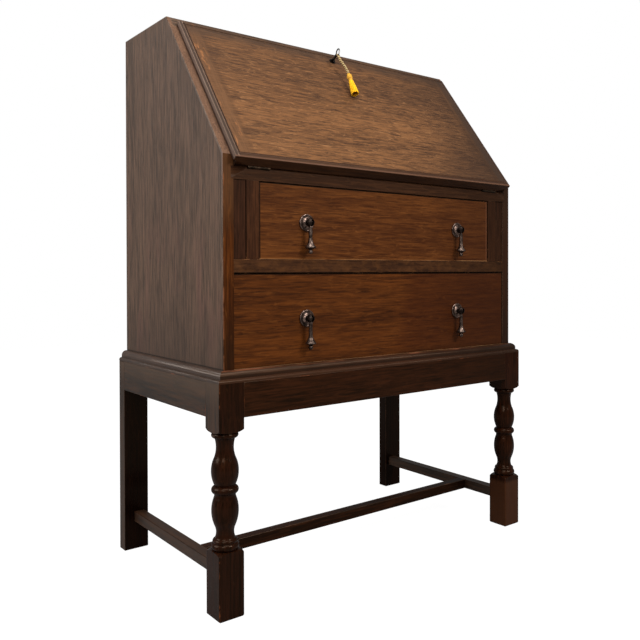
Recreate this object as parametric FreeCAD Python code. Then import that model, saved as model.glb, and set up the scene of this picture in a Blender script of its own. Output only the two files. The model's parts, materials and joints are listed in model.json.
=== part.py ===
import FreeCAD, Part
import math
import os

os.makedirs("parts", exist_ok=True)

# Writing bureau on a turned stand. Millimetres, +Z up. While it is drawn, x is 0 at the middle,
# y is 0 at the front of the case and grows towards the back, and z is 0 on the floor.

# Case
case_width = 730.0
case_depth = 416.0
slope_rise = 284.0
slope_start_rise = 19.0
top_depth = 198.0
side_thick = 21.0
top_thick = 20.0
top_lap = 8.0
bottom_thick = 20.0
back_thick = 6.0
back_lap = 10.0
writing_board_thick = 16.0
rail_depth = 45.0
housing_depth = 5.0
lower_opening_height = 162.0
mid_rail_height = 23.5
upper_opening_height = 134.7
divider_width = 25.5
stile_depth = 22.0
runner_bearing = 20.0
corner_ease = 2.0

# Stand
stand_height = 391.0
stand_overhang = 16.0
apron_height = 59.0
apron_thick = 22.0
leg_size = 47.0
lower_block_height = 112.0
upper_block_drop = 24.0
lower_shoulder = 10.0
upper_shoulder = 9.0
foot_chamfer = 2.0
block_ease = 2.5
rear_leg_width = 50.0
rear_leg_thick = 27.0
stretcher_width = 21.0
stretcher_height = 21.0
stretcher_clear_height = 57.5
stretcher_inset = 20.0
cross_stretcher_setback = 128.0
tenon_length = 14.0
tenon_shoulder = 5.0
moulding_height = 20.0
block_length = 60.0
block_size = 20.0

# Running gaps, and how far every cut runs past what it cuts
rest_gap = 0.3
slide_gap = 0.5
pin_clearance = 0.05
overrun = 3.0

# Fall
fall_thick = 22.0
fall_lip = 5.0
hinge_gap = 0.4
edge_round = 1.5
quirk_setback = 6.2
quirk_width = 0.9
bead_radius = 1.6

# Back-flap hinges
hinge_length = 44.0
hinge_setback = 49.0
leaf_width = 24.0
leaf_thick = 1.6
knuckle_radius = 2.6
hinge_pin_radius = 1.2
knuckle_count = 5
knuckle_gap = 0.3

# Lock, bolt and key
lock_width = 62.0
lock_height = 40.0
lock_cover = 1.25
lock_wall = 1.5
key_backset = 18.0
bolt_width = 20.0
bolt_thick = 4.5
bolt_head_length = 8.0
bolt_tail_thick = 2.0
bolt_tail_length = 16.0
bolt_throw = 9.0
strike_width = 36.0
strike_border = 3.5
strike_thick = 1.5
shank_radius = 2.6
bit_reach = 5.6
bit_thick = 2.4
collar_radius = 4.4
collar_length = 3.0
escutcheon_radius = 7.0
escutcheon_thick = 1.2
bow_reach = 25.0
bow_half_width = 10.5
bow_half_length = 6.5
bow_wire_radius = 1.3
bow_lean = 20.0

# Cord loop, cord and tassel
loop_wire_radius = 1.2
cord_radius = 2.3
tassel_head_radius = 6.3
tassel_waist_radius = 4.2
tassel_skirt_radius = 9.2
tassel_head_length = 16.0
tassel_length = 58.0
cord_length = 39.4

# Drawers
drawer_recess = 1.5
drawer_side_gap = 1.0
drawer_top_gap = 1.6
drawer_front_thick = 20.0
drawer_lap = 6.0
drawer_side_thick = 10.0
drawer_side_drop = 6.0
drawer_back_thick = 9.0
drawer_length = 372.0
drawer_bottom_thick = 5.0
drawer_groove_height = 9.0
drawer_groove_depth = 5.0

# Lopers
loper_thick = 24.0
loper_length = 300.0
peg_radius = 4.0
peg_setback = 20.0
peg_depth = 10.0
peg_reach = 5.0

# Drop handles
handle_spread = 195.0
plate_radius = 15.5
plate_thick = 1.4
rim_width = 2.6
rim_rise = 1.6
dish_ring_radius = 9.5
ball_radius = 7.6
ball_reach = 13.0
neck_radius = 4.6
cheek_slot = 4.0
eye_thick = 3.4
eye_radius = 4.0
handle_pin_radius = 1.2
stem_radius = 3.5
flange_radius = 9.8
flange_thick = 1.8
knob_radius = 4.3
stem_top = 8.8
flare_top = 24.5
flange_top = 43.5
pendant_length = 56.5
post_radius = 2.5
nut_radius = 5.5
nut_thick = 4.0

# Pigeonholes
pigeon_height = 150.0
pigeon_depth = 175.0
pigeon_board_thick = 8.0
upright_count = 4

# Turning of a front leg, as shares of the turned height and of half the leg's size: the middle of
# each curve and its end, or the end alone where the outline runs straight.
turning_start_share = (0.0, 0.85)
turning_shares = [
    ((0.033, 1.0), (0.061, 0.86)),
    ((0.078, 0.89), (0.096, 0.74)),
    ((0.142, 0.64), (0.204, 0.745)),
    ((0.362, 0.957), (0.453, 0.77)),
    ((0.476, 0.766),),
    ((0.510, 0.972), (0.543, 0.73)),
    ((0.668, 0.983), (0.786, 0.757)),
    ((0.883, 0.636), (0.952, 0.74)),
    ((0.977, 0.966), (1.0, 0.80)),
]
shoulder_shares = (0.6, 0.3)

# The cord's bends, as shares of its length: across, up the slope and out from the fall
cord_shares = [(0, 0, 0), (0.06, -0.32, -0.066), (0.175, -0.675, -0.122), (0.17, -1.0, -0.168)]

# The skirt's width at half length, the bell's curve and the knob's neck
skirt_share = 0.72
bell_shares = (0.28, 0.62)
knob_share = 0.7
bend_share = 0.45
diagonal_share = math.sqrt(0.5)

# Stand moulding, as shares of the overhang and of the moulding's height, from its foot to its top
moulding_foot_share = (1.0, 0.10)
moulding_step_shares = ((0.93, 0.24), (0.76, 0.32))
moulding_fillet_shares = ((0.66, 0.32), (0.66, 0.44))
moulding_ovolo_shares = ((0.55, 0.80), (0.16, 1.0))

# Places that follow from the sizes above
vector = FreeCAD.Vector
x_axis = vector(1, 0, 0)
y_axis = vector(0, 1, 0)
z_axis = vector(0, 0, 1)
case_half = case_width / 2
inner_half = case_half - side_thick
hinge_centre = inner_half - hinge_setback
stand_half = case_half + stand_overhang
back_face = case_depth - back_thick
slope_run = case_depth - top_depth
slope_angle = math.atan2(slope_rise, slope_run)
floor_of_case = stand_height + bottom_thick
mid_rail_foot = floor_of_case + lower_opening_height
mid_rail_top = mid_rail_foot + mid_rail_height
rail_underside = mid_rail_top + upper_opening_height
loper_top = rail_underside - slide_gap
writing_height = loper_top + rest_gap + fall_thick
slope_start_height = writing_height + slope_start_rise
overall_height = slope_start_height + slope_rise
top_underside = overall_height - top_thick
loper_bay = loper_thick + 2 * rest_gap
divider_outer = inner_half - loper_bay
divider_inner = divider_outer - divider_width
loper_travel = loper_length - peg_setback - stile_depth - peg_radius - slide_gap
handle_front = ball_reach - drawer_recess + flange_radius
front_reach = max(handle_front, stand_overhang)
origin_shift = vector(0, (front_reach - case_depth) / 2, 0)

# The fall is drawn flat: y runs up the slope from the hinge line and z from its inner face out.
hinge_line = vector(0, -hinge_gap, writing_height)
lip_level = slope_start_rise * math.cos(slope_angle) - hinge_gap * math.sin(slope_angle)
fall_inner_top = (top_underside - slide_gap - writing_height - lip_level * math.cos(slope_angle))
fall_inner_top = fall_inner_top / math.sin(slope_angle)
fall_half = inner_half + fall_lip
fall_top = fall_inner_top + fall_lip
fall_open = 180 - math.degrees(slope_angle)
key_height = fall_inner_top - key_backset
bolt_level = lip_level - lock_cover - slide_gap - bolt_thick
lock_depth = bolt_level + bolt_thick + lock_wall
bow_centre = fall_thick + bow_reach
loop_hole = bow_wire_radius + 2 * rest_gap
loop_radius = loop_hole + loop_wire_radius
loop_drop = bow_half_width + rest_gap
cord_pivot_drop = loop_drop + loop_radius + loop_wire_radius + rest_gap + cord_radius


def box(low, high):
    """A box between two opposite corners."""
    size = [high[i] - low[i] for i in range(3)]
    return Part.makeBox(size[0], size[1], size[2], vector(*low))


def mirrored(shape):
    return shape.mirror(vector(0, 0, 0), x_axis)


def polygon(points):
    """A flat face between the points, which are vectors."""
    return Part.Face(Part.makePolygon(points + [points[0]]))


def arc(start, middle, end):
    return Part.Arc(start, middle, end).toShape()


def line(start, end):
    return Part.LineSegment(start, end).toShape()


def slab(points, low, high):
    """A prism along x, from an outline of (y, z) points."""
    face = polygon([vector(low, y, z) for y, z in points])
    return face.extrude(vector(high - low, 0, 0))


def turned(edges):
    """A solid turned about the z axis from edges in the xz plane."""
    face = Part.Face(Part.Wire(edges))
    return face.revolve(vector(0, 0, 0), z_axis, 360)


def on_fall(shape):
    """Lays a shape that was drawn on the flat fall onto the closed one."""
    placed = shape.copy()
    placed.rotate(vector(0, 0, 0), x_axis, math.degrees(slope_angle))
    placed.translate(hinge_line)
    return placed


def cylinder(radius, length, start, direction):
    return Part.makeCylinder(radius, length, start, direction)


def mitred(profile, length, width):
    """An edge moulding: a profile in the yz plane run along x, mitred at both ends."""
    run = profile.extrude(vector(length + 2 * overrun, 0, 0))
    run.translate(vector(-overrun, 0, 0))
    limits = profile.BoundBox
    low = limits.ZMin - overrun
    corners = [
        vector(-overrun, -overrun, low),
        vector(length + overrun, -overrun, low),
        vector(length - width, width, low),
        vector(width, width, low),
    ]
    sector = polygon(corners).extrude(vector(0, 0, limits.ZLength + 2 * overrun))
    return run.common(sector)


def make_side():
    """The right side: a board with the slope cut off its front top corner."""
    outline = [
        (0, stand_height),
        (case_depth, stand_height),
        (case_depth, overall_height),
        (slope_run, overall_height),
        (0, slope_start_height),
    ]
    side = slab(outline, inner_half, case_half)
    long_arris = [
        edge
        for edge in side.Edges
        if edge.BoundBox.XLength < rest_gap and edge.BoundBox.XMin > case_half - rest_gap
        and edge.BoundBox.ZMax > floor_of_case
    ]
    side = side.makeFillet(corner_ease, long_arris)
    socket = inner_half + housing_depth
    cuts = [
        box((inner_half - overrun, -overrun, top_underside),
            (case_half - top_lap, case_depth + overrun, overall_height + overrun)),
        box((inner_half - overrun, back_face, stand_height - overrun),
            (inner_half + back_lap, case_depth + overrun, top_underside)),
        box((inner_half - overrun, -overrun, stand_height - overrun),
            (socket, back_face, floor_of_case)),
        box((inner_half - overrun, rail_depth, mid_rail_foot),
            (socket, back_face, mid_rail_top)),
        box((inner_half - overrun, -overrun, rail_underside),
            (socket, rail_depth, writing_height)),
        box((inner_half - overrun, rail_depth, writing_height - writing_board_thick),
            (socket, back_face, writing_height)),
    ]
    for cut in cuts:
        side = side.cut(cut)
    return side


def bolt_path(grow):
    """The room that the bolt's head takes at full throw, drawn on the flat fall."""
    return box((-bolt_width / 2 - grow, fall_inner_top - bolt_head_length, bolt_level - grow),
               (bolt_width / 2 + grow, fall_inner_top + bolt_throw + grow,
                bolt_level + bolt_thick + grow))


def make_top():
    """The top board, its front edge bevelled to the slope and mortised for the bolt."""
    bevel_foot = slope_run - top_thick / math.tan(slope_angle)
    outline = [
        (bevel_foot, top_underside),
        (case_depth, top_underside),
        (case_depth, overall_height),
        (slope_run, overall_height),
    ]
    top = slab(outline, top_lap - case_half, case_half - top_lap)
    top = top.cut(on_fall(bolt_path(slide_gap)))
    return top.cut(strike_blank())


def strike_blank():
    """The plate let in round the mouth of the bolt's mortise, bevelled with the top's edge."""
    level = top_underside + strike_thick
    mouth = on_fall(bolt_path(slide_gap)).common(
        box((-case_half, 0, top_underside), (case_half, case_depth, level)))
    foot = slope_run - top_thick / math.tan(slope_angle)
    back = mouth.BoundBox.YMax + strike_border
    outline = [
        (foot, top_underside),
        (back, top_underside),
        (back, level),
        (foot + strike_thick / math.tan(slope_angle), level),
    ]
    return slab(outline, -strike_width / 2, strike_width / 2)


def make_strike():
    return strike_blank().cut(on_fall(bolt_path(slide_gap)))


def make_back():
    return box((-inner_half - back_lap, back_face, stand_height),
               (inner_half + back_lap, case_depth, top_underside))


def make_bottom():
    reach = inner_half + housing_depth
    return box((-reach, 0, stand_height), (reach, back_face, floor_of_case))


def make_writing_board():
    reach = inner_half + housing_depth
    return box((-reach, rail_depth, writing_height - writing_board_thick),
               (reach, back_face, writing_height))


def hinge_room(centre):
    """What both hinged pieces are cut away by, round the knuckles of one hinge."""
    start = hinge_line + vector(centre - hinge_length / 2 - knuckle_gap, 0, 0)
    return cylinder(knuckle_radius + rest_gap, hinge_length + 2 * knuckle_gap, start, x_axis)


def leaf_seat(centre):
    """The sinking for a hinge leaf, drawn from the hinge line along y under a level face."""
    return box((centre - hinge_length / 2, -overrun, -leaf_thick),
               (centre + hinge_length / 2, leaf_width, 0))


def make_front_rail():
    reach = inner_half + housing_depth
    rail = box((-reach, 0, rail_underside), (reach, rail_depth, writing_height))
    for centre in (-hinge_centre, hinge_centre):
        seat = leaf_seat(centre)
        seat.translate(hinge_line)
        rail = rail.cut(seat).cut(hinge_room(centre))
    return rail


def make_mid_rail():
    return box((-inner_half, 0, mid_rail_foot), (inner_half, rail_depth, mid_rail_top))


def make_runner():
    """Carries the loper, the divider and one side of the upper drawer."""
    return box((divider_inner - runner_bearing, rail_depth, mid_rail_foot),
               (inner_half + housing_depth, back_face, mid_rail_top))


def peg_place():
    return vector(divider_outer + rest_gap, loper_length - peg_setback,
                  (mid_rail_top + loper_top) / 2)


def make_stile():
    """The upright between loper and upper drawer that shows at the front."""
    return box((divider_inner, 0, mid_rail_top), (divider_outer, stile_depth, rail_underside))


def make_guide():
    """The board behind the stile that guides loper and drawer, grooved for the stop peg."""
    guide = box((divider_inner, stile_depth, mid_rail_top),
                (divider_outer, back_face, rail_underside))
    peg = peg_place()
    room = peg_radius + slide_gap
    groove = box((divider_outer - peg_reach - slide_gap, peg.y - loper_travel - room, peg.z - room),
                 (divider_outer + overrun, peg.y + room, peg.z + room))
    return guide.cut(groove)


def make_loper():
    """The slide that carries the open fall, drilled for its stop peg."""
    loper = box((divider_outer + rest_gap, drawer_recess, mid_rail_top + rest_gap),
                (inner_half - rest_gap, loper_length, loper_top))
    return loper.cut(cylinder(peg_radius + pin_clearance, peg_depth, peg_place(), x_axis))


def make_peg():
    start = peg_place() - vector(peg_reach, 0, 0)
    return cylinder(peg_radius, peg_depth + peg_reach, start, x_axis)


def make_pigeon_shelf():
    height = writing_height + pigeon_height
    return box((-inner_half, back_face - pigeon_depth, height),
               (inner_half, back_face, height + pigeon_board_thick))


def make_uprights():
    """The uprights of the pigeonholes, spaced evenly between the sides."""
    step = 2 * inner_half / (upright_count + 1)
    uprights = []
    for number in range(1, upright_count + 1):
        middle = number * step - inner_half
        uprights.append(box((middle - pigeon_board_thick / 2, back_face - pigeon_depth,
                             writing_height),
                            (middle + pigeon_board_thick / 2, back_face,
                             writing_height + pigeon_height)))
    return Part.makeCompound(uprights)


def square_blank(height):
    half = leg_size / 2
    return box((-half, -half, 0), (half, half, height))


def shouldered_block(blank, shoulder):
    """A square blank whose top corners are rounded off as a lathe leaves them."""
    half = leg_size / 2
    height = blank.BoundBox.ZMax
    corner = half * math.sqrt(2) + overrun
    turn = half * turning_start_share[1]
    knee = vector(corner, 0, height - shoulder)
    crown = vector(turn, 0, height)
    middle = vector(turn + (corner - turn) * shoulder_shares[0], 0,
                    height - shoulder * shoulder_shares[1])
    edges = [
        line(vector(0, 0, 0), vector(corner, 0, 0)),
        line(vector(corner, 0, 0), knee),
        arc(knee, middle, crown),
        line(crown, vector(0, 0, height)),
        line(vector(0, 0, height), vector(0, 0, 0)),
    ]
    return blank.common(turned(edges))


def make_front_leg():
    """A turned leg between square blocks, on the right, mortised for the side stretcher."""
    half = leg_size / 2
    block_foot = stand_height - apron_height - upper_block_drop
    low_blank = square_blank(lower_block_height)
    arrises = [edge for edge in low_blank.Edges if edge.BoundBox.ZLength > leg_size]
    low = shouldered_block(low_blank.makeFillet(block_ease, arrises), lower_shoulder)
    base_edges = [edge for edge in low.Edges if edge.BoundBox.ZMax < foot_chamfer]
    low = low.makeChamfer(foot_chamfer, base_edges)
    high = shouldered_block(square_blank(stand_height - block_foot), upper_shoulder)
    high = high.mirror(vector(0, 0, stand_height / 2), z_axis)
    length = block_foot - lower_block_height

    def place(share):
        return vector(share[1] * half, 0, lower_block_height + share[0] * length)

    here = place(turning_start_share)
    foot = vector(0, 0, here.z)
    edges = [line(foot, here)]
    for curve in turning_shares:
        there = place(curve[-1])
        if len(curve) == 2:
            edges.append(arc(here, place(curve[0]), there))
        else:
            edges.append(line(here, there))
        here = there
    head = vector(0, 0, here.z)
    edges.append(line(here, head))
    edges.append(line(head, foot))
    leg = low.fuse(turned(edges)).fuse(high)
    leg.translate(vector(stand_half - half, half - stand_overhang, 0))
    return leg.cut(stretcher_tenons()).removeSplitter()


def make_rear_leg():
    leg = box((stand_half - rear_leg_width, case_depth - rear_leg_thick, 0),
              (stand_half, case_depth, stand_height))
    return leg.cut(stretcher_tenons())


def stretcher_line():
    """The right stretcher's outer face, inner face, front end and back end."""
    outer = stand_half - stretcher_inset
    return outer, outer - stretcher_width, leg_size - stand_overhang, case_depth - rear_leg_thick


def stretcher_tenons():
    """One bar that runs into the legs at both ends; its ends are the tenons."""
    outer, inner, front, back = stretcher_line()
    return box((inner + tenon_shoulder, front - tenon_length,
                stretcher_clear_height + tenon_shoulder),
               (outer - tenon_shoulder, back + tenon_length,
                stretcher_clear_height + stretcher_height - tenon_shoulder))


def cross_tenons():
    """The cross stretcher's core, which runs into both side stretchers."""
    outer, inner, front, back = stretcher_line()
    reach = inner + tenon_length
    start = cross_stretcher_setback - stand_overhang
    return box((-reach, start + tenon_shoulder, stretcher_clear_height + tenon_shoulder),
               (reach, start + stretcher_width - tenon_shoulder,
                stretcher_clear_height + stretcher_height - tenon_shoulder))


def make_side_stretcher():
    outer, inner, front, back = stretcher_line()
    bar = box((inner, front, stretcher_clear_height),
              (outer, back, stretcher_clear_height + stretcher_height))
    return bar.fuse(stretcher_tenons()).cut(cross_tenons()).removeSplitter()


def make_cross_stretcher():
    outer, inner, front, back = stretcher_line()
    start = cross_stretcher_setback - stand_overhang
    bar = box((-inner, start, stretcher_clear_height),
              (inner, start + stretcher_width, stretcher_clear_height + stretcher_height))
    return bar.fuse(cross_tenons()).removeSplitter()


def make_front_apron():
    reach = stand_half - leg_size
    return box((-reach, -stand_overhang, stand_height - apron_height),
               (reach, apron_thick - stand_overhang, stand_height))


def make_rear_apron():
    reach = stand_half - rear_leg_width
    return box((-reach, case_depth - apron_thick, stand_height - apron_height),
               (reach, case_depth, stand_height))


def make_side_apron():
    return box((stand_half - apron_thick, leg_size - stand_overhang, stand_height - apron_height),
               (stand_half, case_depth - rear_leg_thick, stand_height))


def make_fixing_blocks():
    """Blocks glued inside the aprons, through which the case is screwed down."""
    blocks = []
    rows = (
        apron_thick - stand_overhang,
        case_depth - apron_thick - block_size,
    )
    for start in rows:
        for middle in (-stand_half / 2, stand_half / 2):
            blocks.append(box((middle - block_length / 2, start, stand_height - block_size),
                              (middle + block_length / 2, start + block_size, stand_height)))
    return Part.makeCompound(blocks)


def moulding_profile():
    """The moulding's section in the yz plane: y is 0 at its outer face, z at its foot."""
    def place(share):
        return vector(0, (1 - share[0]) * stand_overhang, share[1] * moulding_height)

    foot = place(moulding_foot_share)
    step = place(moulding_step_shares[1])
    fillet_low = place(moulding_fillet_shares[0])
    fillet_high = place(moulding_fillet_shares[1])
    top = place(moulding_ovolo_shares[1])
    outer_foot = vector(0, 0, 0)
    inner_foot = vector(0, stand_overhang, 0)
    inner_top = vector(0, stand_overhang, moulding_height)
    edges = [
        line(outer_foot, foot),
        arc(foot, place(moulding_step_shares[0]), step),
        line(step, fillet_low),
        line(fillet_low, fillet_high),
        arc(fillet_high, place(moulding_ovolo_shares[0]), top),
        line(top, inner_top),
        line(inner_top, inner_foot),
        line(inner_foot, outer_foot),
    ]
    return Part.Face(Part.Wire(edges))


def make_front_moulding():
    strip = mitred(moulding_profile(), 2 * stand_half, stand_overhang)
    strip.translate(vector(-stand_half, -stand_overhang, stand_height))
    return strip


def make_side_moulding():
    """The right moulding: mitred in front, square at the back."""
    length = case_depth + stand_overhang
    strip = mitred(moulding_profile(), 2 * length, stand_overhang)
    strip = strip.common(box((-overrun, -overrun, -overrun),
                             (length, stand_overhang, moulding_height + overrun)))
    strip.rotate(vector(0, 0, 0), z_axis, 90)
    strip.translate(vector(stand_half, -stand_overhang, stand_height))
    return strip


def edge_cutters():
    """The three cuts of the fall's edge moulding, in the yz plane: y in from the edge, z 0 at
    the face."""
    low = vector(0, -overrun, -edge_round)
    corner = vector(0, 0, -edge_round)
    diagonal = edge_round * (1 - diagonal_share)
    crown = vector(0, edge_round, 0)
    rounding = Part.Wire([
        line(low, corner),
        arc(corner, vector(0, diagonal, -diagonal), crown),
        line(crown, vector(0, edge_round, overrun)),
        line(vector(0, edge_round, overrun), vector(0, -overrun, overrun)),
        line(vector(0, -overrun, overrun), low),
    ])
    cutters = [Part.Face(rounding)]
    depth = bead_radius
    bead_middle = quirk_setback + quirk_width + bead_radius
    slant = bead_radius * diagonal_share
    for side in (-1, 1):
        outer = bead_middle + side * (bead_radius + quirk_width)
        inner = bead_middle + side * bead_radius
        quirk = Part.Wire([
            line(vector(0, outer, overrun), vector(0, outer, -depth)),
            line(vector(0, outer, -depth), vector(0, inner, -depth)),
            arc(vector(0, inner, -depth),
                vector(0, bead_middle + side * slant, slant - depth),
                vector(0, bead_middle, 0)),
            line(vector(0, bead_middle, 0), vector(0, bead_middle, overrun)),
            line(vector(0, bead_middle, overrun), vector(0, outer, overrun)),
        ])
        cutters.append(Part.Face(quirk))
    return cutters


def lock_seat():
    return box((-lock_width / 2, fall_inner_top - lock_height, -overrun),
               (lock_width / 2, fall_inner_top + overrun, lock_depth))


def keyhole(grow):
    """The key's way through: a round hole with a slot below it for the bit."""
    hole = cylinder(shank_radius + grow, fall_thick + 2 * overrun,
                    vector(0, key_height, lock_wall), z_axis)
    slot = box((-bit_thick / 2 - grow, key_height - bit_reach - grow, lock_wall),
               (bit_thick / 2 + grow, key_height, fall_thick + 2 * overrun))
    return hole.fuse(slot)


def make_fall():
    """The fall: an inner slab that fits the opening and a moulded lip that laps round it."""
    inner = box((slide_gap - inner_half, hinge_gap, 0),
                (inner_half - slide_gap, fall_inner_top, fall_thick))
    lip = box((-fall_half, hinge_gap, lip_level + rest_gap), (fall_half, fall_top, fall_thick))
    fall = inner.fuse(lip).removeSplitter()
    width = 2 * fall_half
    height = fall_top - hinge_gap
    reach = quirk_setback + 2 * quirk_width + 2 * bead_radius + overrun
    turns = (
        (width, vector(-fall_half, hinge_gap, fall_thick), 0),
        (height, vector(fall_half, hinge_gap, fall_thick), 90),
        (width, vector(fall_half, fall_top, fall_thick), 180),
        (height, vector(-fall_half, fall_top, fall_thick), 270),
    )
    for profile in edge_cutters():
        for length, corner, turn in turns:
            cutter = mitred(profile, length, reach)
            cutter.rotate(vector(0, 0, 0), z_axis, turn)
            cutter.translate(corner)
            fall = fall.cut(cutter)
    for centre in (-hinge_centre, hinge_centre):
        seat = leaf_seat(centre)
        seat = seat.mirror(vector(0, 0, 0), z_axis)
        fall = fall.cut(seat)
        start = vector(centre - hinge_length / 2 - knuckle_gap, 0, 0)
        fall = fall.cut(cylinder(knuckle_radius + rest_gap, hinge_length + 2 * knuckle_gap,
                                 start, x_axis))
    fall = fall.cut(lock_seat()).cut(keyhole(rest_gap))
    return on_fall(fall)


def knuckles(centre, first):
    """Every second knuckle of a hinge, drawn round the x axis."""
    pitch = hinge_length / knuckle_count
    rings = []
    for number in range(first, knuckle_count, 2):
        start = vector(centre - hinge_length / 2 + number * pitch + knuckle_gap / 2, 0, 0)
        rings.append(cylinder(knuckle_radius, pitch - knuckle_gap, start, x_axis))
    return rings


def make_leaf(centre, first):
    """One hinge leaf, lying along y under the level of its knuckles' axis."""
    leaf = box((centre - hinge_length / 2, 0, -leaf_thick), (centre + hinge_length / 2, leaf_width, 0))
    pitch = hinge_length / knuckle_count
    for number in range(1 - first, knuckle_count, 2):
        start = vector(centre - hinge_length / 2 + number * pitch - knuckle_gap / 2, 0, 0)
        leaf = leaf.cut(cylinder(knuckle_radius + rest_gap, pitch + knuckle_gap, start, x_axis))
    for ring in knuckles(centre, first):
        leaf = leaf.fuse(ring)
    bore = cylinder(hinge_pin_radius + pin_clearance, hinge_length + 2 * overrun,
                    vector(centre - hinge_length / 2 - overrun, 0, 0), x_axis)
    return leaf.removeSplitter().cut(bore)


def make_case_leaves():
    leaves = []
    for centre in (-hinge_centre, hinge_centre):
        leaf = make_leaf(centre, 0)
        leaf.translate(hinge_line)
        leaves.append(leaf)
    return Part.makeCompound(leaves)


def make_fall_leaves():
    leaves = []
    for centre in (-hinge_centre, hinge_centre):
        leaf = make_leaf(centre, 1).mirror(vector(0, 0, 0), z_axis)
        leaves.append(on_fall(leaf))
    return Part.makeCompound(leaves)


def make_hinge_pins():
    pins = []
    for centre in (-hinge_centre, hinge_centre):
        start = hinge_line + vector(centre - hinge_length / 2, 0, 0)
        pins.append(cylinder(hinge_pin_radius, hinge_length, start, x_axis))
    return Part.makeCompound(pins)


def make_lock_case():
    """The lock's box, open inside, with a keyhole and a slot for the bolt's head."""
    case = box((-lock_width / 2, fall_inner_top - lock_height, 0),
               (lock_width / 2, fall_inner_top, lock_depth))
    room = box((lock_wall - lock_width / 2, fall_inner_top - lock_height + lock_wall, lock_wall),
               (lock_width / 2 - lock_wall, fall_inner_top - lock_wall, lock_depth - lock_wall))
    case = case.cut(room).cut(keyhole(rest_gap))
    slot = box((-bolt_width / 2 - rest_gap, fall_inner_top - lock_wall - overrun,
                bolt_level - rest_gap),
               (bolt_width / 2 + rest_gap, fall_inner_top + overrun, lock_depth - lock_wall))
    return on_fall(case.cut(slot))


def make_bolt():
    """The bolt, drawn back: a thick head and a thin tail slotted to pass the key."""
    top = fall_inner_top - slide_gap
    head_foot = top - bolt_head_length
    level = bolt_level + bolt_thick - rest_gap
    head = box((-bolt_width / 2, head_foot, bolt_level), (bolt_width / 2, top, level))
    tail_foot = head_foot - bolt_tail_length
    tail = box((-bolt_width / 2, tail_foot, level - bolt_tail_thick),
               (bolt_width / 2, head_foot, level))
    room = shank_radius + slide_gap
    slot = box((-room, key_height - room - bolt_throw, bolt_level),
               (room, key_height + room, level + overrun))
    return on_fall(head.fuse(tail).removeSplitter().cut(slot))


def make_escutcheon():
    plate = cylinder(escutcheon_radius, escutcheon_thick, vector(0, key_height, fall_thick), z_axis)
    return on_fall(plate.cut(keyhole(rest_gap)))


def bow_ring():
    """The key's bow: an oval ring, drawn in the xz plane and swept with a round wire."""
    oval = Part.Ellipse(vector(0, 0, 0), bow_half_width, bow_half_length)
    path = Part.Wire([Part.Arc(oval, 0, math.pi).toShape()])
    start = Part.Circle(vector(bow_half_width, 0, 0), y_axis, bow_wire_radius).toShape()
    half = path.makePipeShell([Part.Wire([start])], True, True)
    ring = half.fuse(half.mirror(vector(0, 0, 0), y_axis))
    ring.rotate(vector(0, 0, 0), x_axis, 90)
    return ring


def make_key():
    """The key in the lock: shank, bit, collar and oval bow."""
    tip = lock_wall + rest_gap
    base = vector(0, key_height, tip)
    shank_end = bow_centre - bow_half_length + bow_wire_radius / 3
    key = cylinder(shank_radius, shank_end - tip, base, z_axis)
    bit_top = bolt_level - rest_gap
    key = key.fuse(box((-bit_thick / 2, key_height - bit_reach, tip),
                       (bit_thick / 2, key_height, bit_top)))
    collar_foot = fall_thick + escutcheon_thick + rest_gap
    key = key.fuse(cylinder(collar_radius, collar_length, vector(0, key_height, collar_foot), z_axis))
    ring = bow_ring()
    ring.rotate(vector(0, 0, 0), z_axis, 90 - bow_lean)
    ring.translate(vector(0, key_height, bow_centre))
    return on_fall(key.fuse(ring).removeSplitter())


def bow_foot_place(drop):
    """A point below the key's axis on the line of the bow, on the flat fall."""
    lean = math.radians(bow_lean)
    return vector(-drop * math.sin(lean), key_height - drop * math.cos(lean), bow_centre)


def make_cord_loop():
    """The loop of cord round the lower end of the bow."""
    ring = Part.makeTorus(loop_radius, loop_wire_radius, bow_foot_place(loop_drop), z_axis)
    return on_fall(ring)


def cord_points():
    start = bow_foot_place(cord_pivot_drop)
    flat = [start + vector(*share) * cord_length for share in cord_shares]
    return [on_fall(Part.Vertex(point)).Point for point in flat]


def tube(points, radius):
    """A tube along straight runs joined by tangent arcs; prints its radii and its volume."""
    edges = []
    radii = []
    here = points[0]
    for i in range(1, len(points) - 1):
        back = (points[i - 1] - points[i])
        on = (points[i + 1] - points[i])
        turn = math.pi - back.getAngle(on)
        short = min(back.Length, on.Length)
        setback = bend_share * short
        bend = setback / math.tan(turn / 2)
        radii.append(bend)
        back.normalize()
        on.normalize()
        start = points[i] + back * setback
        end = points[i] + on * setback
        inward = back + on
        inward.normalize()
        middle = points[i] + inward * (bend / math.cos(turn / 2) - bend)
        edges.append(line(here, start))
        edges.append(arc(start, middle, end))
        here = end
    edges.append(line(here, points[-1]))
    path = Part.Wire(edges)
    first = points[1] - points[0]
    ring = Part.Wire([Part.Circle(points[0], first, radius).toShape()])
    body = path.makePipeShell([ring], True, False)
    print("cord radii", [round(bend, 1) for bend in radii], "volume", round(body.Volume, 1),
          "section times length", round(math.pi * radius ** 2 * path.Length, 1))
    return body


def make_cord():
    """The cord from the loop down to the tassel, round-ended where it hinges."""
    points = cord_points()
    ball = Part.makeSphere(cord_radius, points[0])
    return tube(points, cord_radius).fuse(ball).removeSplitter()


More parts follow.
